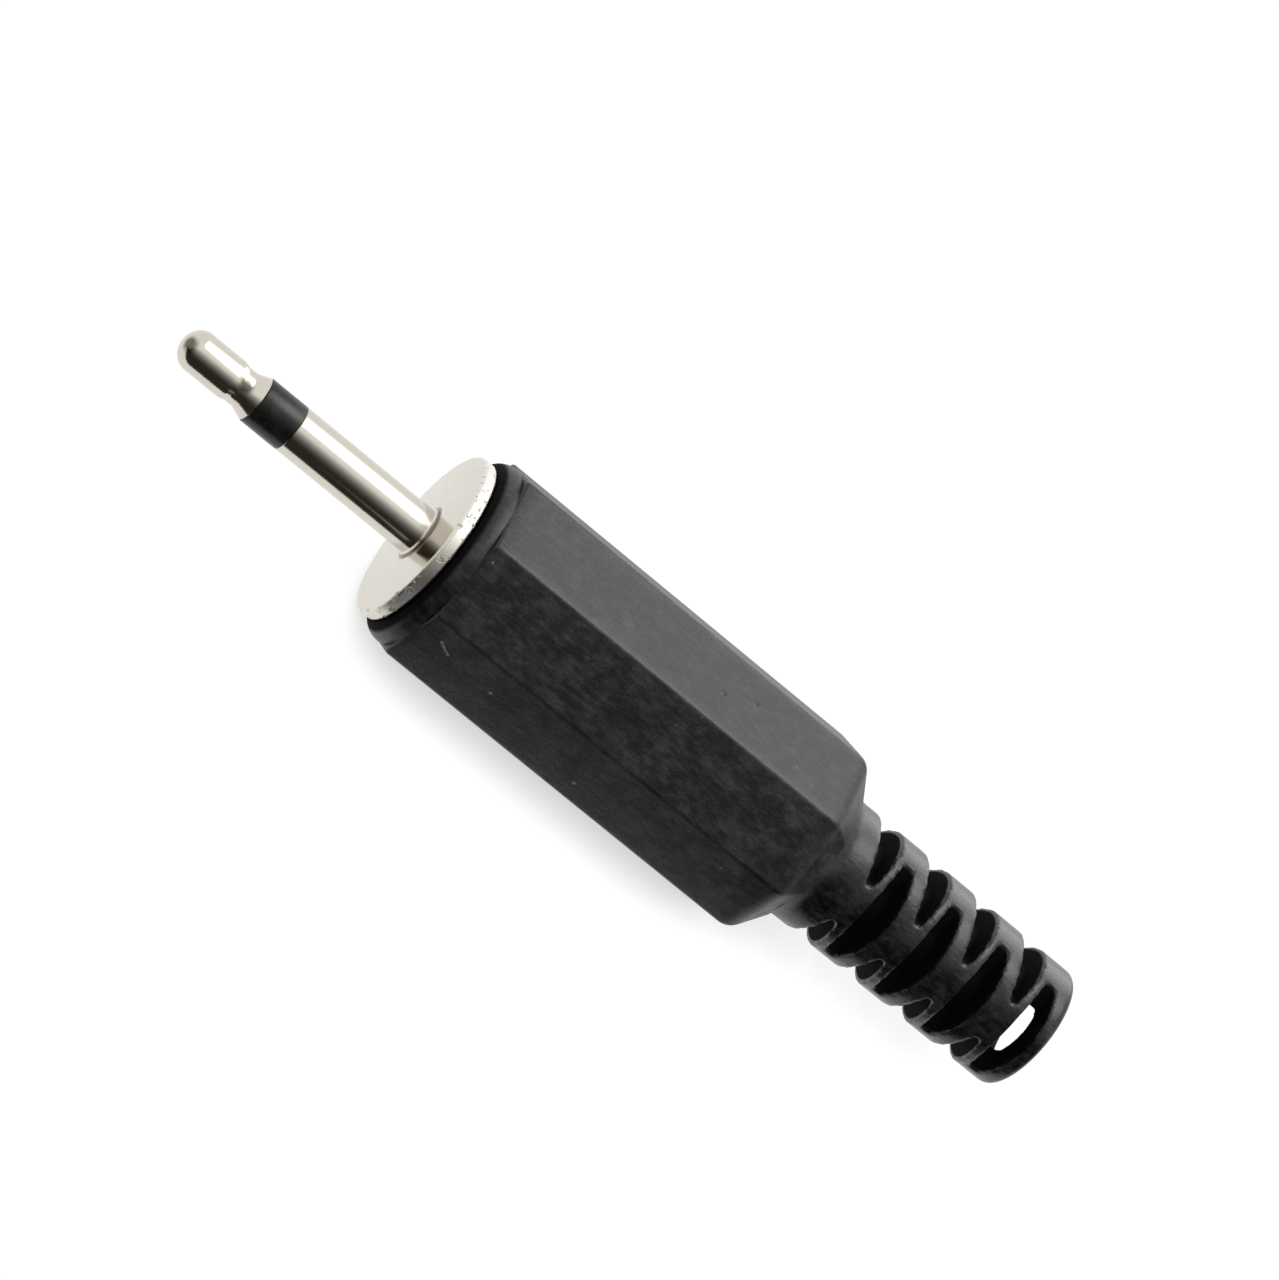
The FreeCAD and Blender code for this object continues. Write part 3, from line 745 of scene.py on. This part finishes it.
def grip_rows(sizes, angles):
    """Rows of the grip: collar, flats and shoulder outside, thread, chamber and neck inside."""
    flat, edge = in_mm(sizes.flat_radius), in_mm(sizes.edge_round)
    collar, collar_round = in_mm(sizes.collar_radius), in_mm(sizes.collar_round)
    flats_start, flats_end, shoulder_end = handle_places(sizes)
    boot, neck = in_mm(sizes.boot_radius), in_mm(sizes.cable_radius) + 0.06
    rows = []

    def ring(x, r):
        rows.append((x, [r] * len(angles)))

    def octagon(x, apothem, least=0.0):
        rows.append((x, [max(least, octagon_radius(a, apothem, edge)) for a in angles]))

    ring(HANDLE_FRONT, MOUTH_RADIUS)
    collar_steps = 9
    for i in range(collar_steps + 1):
        angle = math.pi / 2 * i / collar_steps
        ring(HANDLE_FRONT + collar_round * (1 - math.cos(angle)),
             collar - in_mm(sizes.collar_ease) * (1 - math.sin(angle)))
    ring(flats_start, collar)
    for ahead, inset in ((0.0, 0.17), (0.02, 0.09), (0.07, 0.03), (0.16, 0.0)):
        octagon(flats_start + ahead, flat - inset, collar)
    octagon(flats_start + 1.0, flat)
    octagon(flats_end - 1.6, flat)
    slope = rounded([(flats_end - 1.5, flat, 0), (flats_end, flat, 1.2),
                     (shoulder_end, boot + 0.07, 0.1), (shoulder_end, boot - 0.5, 0)], 8)
    for x, apothem in slope:
        octagon(x, apothem)
    ring(shoulder_end, neck)
    inner = rounded([
        (shoulder_end - 0.3, neck, 0), (shoulder_end - 2.3, neck, 0.3),
        (shoulder_end - 3.7, CHAMBER_RADIUS, 0.3), (NUT_END, CHAMBER_RADIUS, 0),
        (NUT_END, NUT_RADIUS, 0),
    ], 4)
    for x, r in inner:
        ring(x, r)
    last_row = NUT_END - 0.03
    for i in range(NUT_STEPS, 0, -1):
        x = HANDLE_FRONT + (last_row - HANDLE_FRONT) * i / NUT_STEPS
        depth = NUT_DEPTH * min(1.0, (NUT_END - x) / 0.5)
        rows.append((x, [NUT_RADIUS + depth * (1 - thread_height(x, a, 1, 1, THREAD_PITCH))
                         for a in angles]))
    ring(HANDLE_FRONT + 0.02, MOUTH_RADIUS)
    return rows


def slot_cutter(sizes):
    """Wedges for all the slots of the boot, as one object."""
    first = handle_places(sizes)[-1] + in_mm(sizes.slot_start)
    pitch, mouth = in_mm(sizes.slot_pitch), in_mm(sizes.slot_mouth)
    surface = in_mm(sizes.boot_radius)
    beyond = surface + 1.0
    build = bmesh.new()
    families = [(first, *SIDE_SLOTS), (first + in_mm(sizes.slot_stagger), *CROSS_SLOTS)]
    for start, direction, floor, width in families:
        slope = (mouth - width) / (surface - floor)
        top = width + slope * (beyond - floor)
        for row in range(sizes.slot_rows):
            middle = start + pitch * row
            for side in (0, 180):
                out = Matrix.Rotation(math.radians(direction + side), 3, "X")
                corners = []
                for reach in (-SLOT_REACH, SLOT_REACH):
                    for x, height in ((-width / 2, floor), (width / 2, floor), (top / 2, beyond),
                                      (-top / 2, beyond)):
                        place = out @ Vector((0, height, reach))
                        corners.append(build.verts.new(((middle + x) * MM, place.y * MM,
                                                        place.z * MM)))
                near, far = corners[:4], corners[4:]
                build.faces.new(near)
                build.faces.new(far[::-1])
                for i in range(4):
                    k = (i + 1) % 4
                    build.faces.new((near[k], near[i], far[i], far[k]))
    bmesh.ops.recalc_face_normals(build, faces=build.faces)
    mesh = bpy.data.meshes.new("slot_cutter")
    build.to_mesh(mesh)
    build.free()
    return add_piece("slot_cutter", mesh)


def boot_piece(sizes):
    """The boot: a bored cone with its slots cut, a liner up to the last slot, and soft edges."""
    boot, end = in_mm(sizes.boot_radius), in_mm(sizes.boot_end_radius)
    mouth, bore = in_mm(sizes.cable_radius), in_mm(sizes.inner_radius)
    shoulder_end = handle_places(sizes)[-1]
    front, liner_front, liner_end = shoulder_end - 1.2, shoulder_end - 1.1, HANDLE_REAR - OPEN_END
    outline = rounded([
        (front, bore, 0), (front, boot - 0.3, 0.2),
        (shoulder_end - 0.3, boot + 0.5, 0.1), (shoulder_end + 0.25, boot, 0.9),
        (HANDLE_REAR, end, in_mm(sizes.boot_end_round)),
        (HANDLE_REAR, mouth + 0.35, 0.1), (HANDLE_REAR - 0.35, mouth, 0.3),
        (liner_end + 0.3, mouth, 0.1), (liner_end, bore, 0.1), (front, bore, 0),
    ], 8)[:-1]
    piece = turned("boot", outline, BOOT_SEGMENTS)
    liner = turned("liner", [(liner_front, bore - 0.02), (liner_front, bore + 0.25),
                             (liner_end, bore + 0.25), (liner_end, bore - 0.02)],
                   LINER_SEGMENTS)
    cutter = slot_cutter(sizes)
    modify(piece, "BOOLEAN", operation="DIFFERENCE", solver="MANIFOLD", object=cutter)
    modify(piece, "BOOLEAN", operation="UNION", solver="MANIFOLD", object=liner)
    bpy.data.objects.remove(cutter)
    bpy.data.objects.remove(liner)
    modify(piece, "REMESH", mode="VOXEL", voxel_size=SOFTENING * MM, adaptivity=0.0)
    modify(piece, "SMOOTH", factor=0.5, iterations=2)
    return piece


class JACKPLUG_OT_handle(bpy.types.Operator):
    """Mould the eight-sided grip with its collar, shoulder, inner thread and slotted boot"""
    bl_idname = "jackplug.handle"
    bl_label = "Handle and boot"

    def execute(self, context):
        sizes = context.scene.jack_handle
        angles = grip_angles()
        mesh = spun_mesh("handle_moulded", grip_rows(sizes, angles), angles, True)
        piece = add_piece("handle_moulded", mesh)
        boot = boot_piece(sizes)
        modify(piece, "BOOLEAN", operation="UNION", solver="MANIFOLD", object=boot)
        bpy.data.objects.remove(boot)
        if not piece.data.polygons:
            raise RuntimeError("the grip and the boot didn't join")
        smooth(piece, math.radians(34))
        weigh = piece.modifiers.new("even_shading", "WEIGHTED_NORMAL")
        weigh.keep_sharp = True
        finish = finish_named("satin_black", handle_plastic, context.scene.jack_finish.handle)
        fit(piece, "handle", finish, "handle_plastic", "handle")
        return {"FINISHED"}


class JACKPLUG_OT_inner_parts(bpy.types.Operator):
    """Paint the lugs and insulators that show when the handle is drawn back"""
    bl_idname = "jackplug.inner_parts"
    bl_label = "Lugs and insulators"

    def execute(self, context):
        colours = context.scene.jack_finish
        tin = finish_named("tinned_sheet", tinned_sheet, colours.tin)
        bush = finish_named("natural_plastic", natural_plastic, colours.bush)
        painted = {"earth_lug": tin, "tip_lug": tin, "rear_insulator": bush, "core_tube": bush}
        for name, finish in painted.items():
            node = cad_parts[name]
            node.data.materials.clear()
            node.data.materials.append(finish)
        return {"FINISHED"}


# Stage

# Places and sizes of the stage are in millimetres, and the camera's turns in degrees.
CAMERA_PLACE = (-80.298, -202.299, 230.262)
CAMERA_TURNS = (27.973, -36.054, 23.696)
CAMERA_LENS = 188.68
FLOOR_SIZE = 4000
MIDDLE = (14, 0, 0)
CARD_BROWN = (0.03, 0.025, 0.018)
CARD_GREY = (0.24, 0.24, 0.29)
PANEL_TINT = (1.0, 0.985, 0.945)
LAMP_TINT = (1.0, 0.985, 0.96)
PAPER_GREYS = ((0.80, 0.80, 0.80), (0.82, 0.82, 0.82))


def placed(place, tilt=0):
    """Matrix of something at a place, tilted about the plug's direction by degrees."""
    turn = Matrix.Rotation(math.radians(tilt), 4, "X")
    return Matrix.Translation(Vector(place) * MM) @ turn


def aimed(place):
    """Matrix of something at a place that faces the plug's middle."""
    here = Vector(place) * MM
    turn = (Vector(MIDDLE) * MM - here).to_track_quat("-Z", "Y")
    return Matrix.Translation(here) @ turn.to_matrix().to_4x4()


def add_sheet(name, matrix, width, height, finish):
    """A flat sheet of the stage."""
    build = bmesh.new()
    corners = [build.verts.new((sx * width * MM / 2, sy * height * MM / 2, 0))
               for sx, sy in ((-1, -1), (1, -1), (1, 1), (-1, 1))]
    build.faces.new(corners)
    mesh = bpy.data.meshes.new(name)
    build.to_mesh(mesh)
    build.free()
    mesh.materials.append(finish)
    sheet = add_piece(name, mesh)
    sheet.matrix_world = matrix
    return sheet


def floor_finish():
    """White floor that stays white to the camera and in metal, and still takes a shadow."""
    finish = Finish.material("floor_white")
    paper = finish.mixed(finish.noise(finish.place(), 0.02, 2.0), *PAPER_GREYS)
    matte = finish.node("ShaderNodeBsdfDiffuse", None, {"Color": paper})
    open_sky = finish.node("ShaderNodeAmbientOcclusion", None, {"Distance": 5 * MM}, "AO")
    # Ambient occlusion dims the glow near the plug, a painted contact shadow over the matte's
    # real one.
    share = finish.seen() * (0.5 + open_sky.fade(0.0, 0.6) * 0.5)
    return finish.done(finish.blend(share, matte, finish.glow(WHITE, 1.03)))


def panel_finish():
    """Soft light panel for glossy surfaces, brightest in its middle and white at its rim."""
    finish = Finish.material("soft_panel")
    point = finish.place()
    middle = 1 - finish.part(point, "X").size().fade(40, 260)
    middle = (middle * (1 - finish.part(point, "Y").size().fade(60, 300))) ** 2.4
    return finish.done(finish.blend(middle, finish.glow(WHITE), finish.glow(PANEL_TINT, 5.5)))


def wall_finish():
    """Brown wall for polished metal to mirror, fading to white up its height."""
    finish = Finish.material("card_wall")
    height = finish.part(finish.place(), "Y")
    shade = finish.mixed(height.fade(-170, 190), CARD_BROWN, WHITE)
    return finish.done(finish.glow(shade))


def plain_glow(name, shade, strength=1.0):
    """An evenly glowing card."""
    finish = Finish.material(name)
    return finish.done(finish.glow(shade, strength))


def add_card(*sheet):
    """A sheet that is seen only in glossy surfaces."""
    card = add_sheet(*sheet)
    card.visible_camera = False
    card.visible_diffuse = False
    card.visible_transmission = False
    card.visible_shadow = False


def add_cards():
    """The cards that give the metal its stripes and the facets their shades."""
    add_card("dark_wall", placed((60, -150, 188), 90), 1000, 390, wall_finish())
    add_card("dark_front", placed((60, -78.8, FLOOR + 0.1)), 1000, 142.4,
             plain_glow("card_front", CARD_BROWN))
    add_card("pale_patch", placed((13.5, -38, FLOOR + 0.2)), 22, 60,
             plain_glow("card_patch", CARD_GREY))
    add_card("back_panel", placed((74, 100, 42), -90), 64, 94,
             plain_glow("card_back", WHITE, 3.4))
    add_card("soft_panel", aimed((115, 125, 360)), 520, 600, panel_finish())


def add_softbox():
    """The soft lamp overhead, which glossy surfaces don't show."""
    data = bpy.data.lights.new("top_softbox", "AREA")
    data.shape = "SQUARE"
    data.size = 300 * MM
    data.energy = 1.6
    data.color = LAMP_TINT
    lamp = bpy.data.objects.new("top_softbox", data)
    bpy.context.scene.collection.objects.link(lamp)
    lamp.matrix_world = aimed((110, 130, 370))
    lamp.visible_glossy = False


def white_world():
    """A world that is white where it is seen, and dim where it only lights."""
    world = bpy.data.worlds.new("studio")
    finish = Finish(world)
    dim, bright = [finish.node("ShaderNodeBackground", None, {"Color": WHITE, "Strength": power})
                   for power in (0.3, 1.0)]
    finish.node("ShaderNodeOutputWorld", None,
                {"Surface": finish.blend(finish.seen(), dim, bright)})
    return world


def add_camera():
    """The camera, placed and turned as the photo shows the plug."""
    data = bpy.data.cameras.new("camera")
    data.sensor_width = 36
    data.lens = CAMERA_LENS
    data.clip_start, data.clip_end = 0.01, 10
    camera = bpy.data.objects.new("camera", data)
    bpy.context.scene.collection.objects.link(camera)
    turn = Euler([math.radians(angle) for angle in CAMERA_TURNS]).to_matrix().to_4x4()
    camera.matrix_world = Matrix.Translation(Vector(CAMERA_PLACE) * MM) @ turn
    return camera


class JACKPLUG_OT_stage(bpy.types.Operator):
    """Lay the white floor, stand the cards, hang the lamp and set up the camera"""
    bl_idname = "jackplug.stage"
    bl_label = "Floor, cards, lamp and camera"

    def execute(self, context):
        scene = context.scene
        scene.view_settings.view_transform = "Standard"
        add_sheet("floor", placed((0, 0, FLOOR)), FLOOR_SIZE, FLOOR_SIZE, floor_finish())
        add_cards()
        add_softbox()
        scene.world = white_world()
        scene.camera = add_camera()
        return {"FINISHED"}


class JACKPLUG_PT_panel(bpy.types.Panel):
    """Sizes, finishes and the operators that build the plug"""
    bl_idname = "JACKPLUG_PT_panel"
    bl_label = "Jack Plug"
    bl_space_type = "VIEW_3D"
    bl_region_type = "UI"
    bl_category = "Jack Plug"

    def draw(self, context):
        scene = context.scene
        for title, group in (("Pin", scene.jack_pin), ("Handle", scene.jack_handle),
                             ("Finishes", scene.jack_finish)):
            box = self.layout.box()
            box.label(text=title)
            for name in group.__annotations__:
                box.prop(group, name)
        column = self.layout.column()
        for operator in OPERATORS:
            column.operator(operator.bl_idname)


OPERATORS = (JACKPLUG_OT_tip, JACKPLUG_OT_ring, JACKPLUG_OT_sleeve, JACKPLUG_OT_handle,
             JACKPLUG_OT_inner_parts, JACKPLUG_OT_stage)
CLASSES = (PinSizes, HandleSizes, Finishes, *OPERATORS, JACKPLUG_PT_panel)


def register():
    """Register the classes and give the scene their sizes and colours."""
    for item in CLASSES:
        bpy.utils.register_class(item)
    bpy.types.Scene.jack_pin = PointerProperty(type=PinSizes)
    bpy.types.Scene.jack_handle = PointerProperty(type=HandleSizes)
    bpy.types.Scene.jack_finish = PointerProperty(type=Finishes)


def unregister():
    """Take the scene's sizes and colours and the classes away again."""
    del bpy.types.Scene.jack_pin, bpy.types.Scene.jack_handle, bpy.types.Scene.jack_finish
    for item in reversed(CLASSES):
        bpy.utils.unregister_class(item)


def main():
    """Build everything."""
    register()
    bpy.ops.jackplug.tip()
    bpy.ops.jackplug.ring()
    bpy.ops.jackplug.sleeve()
    bpy.ops.jackplug.handle()
    bpy.ops.jackplug.inner_parts()
    bpy.ops.jackplug.stage()


if __name__ == "__main__":
    main()
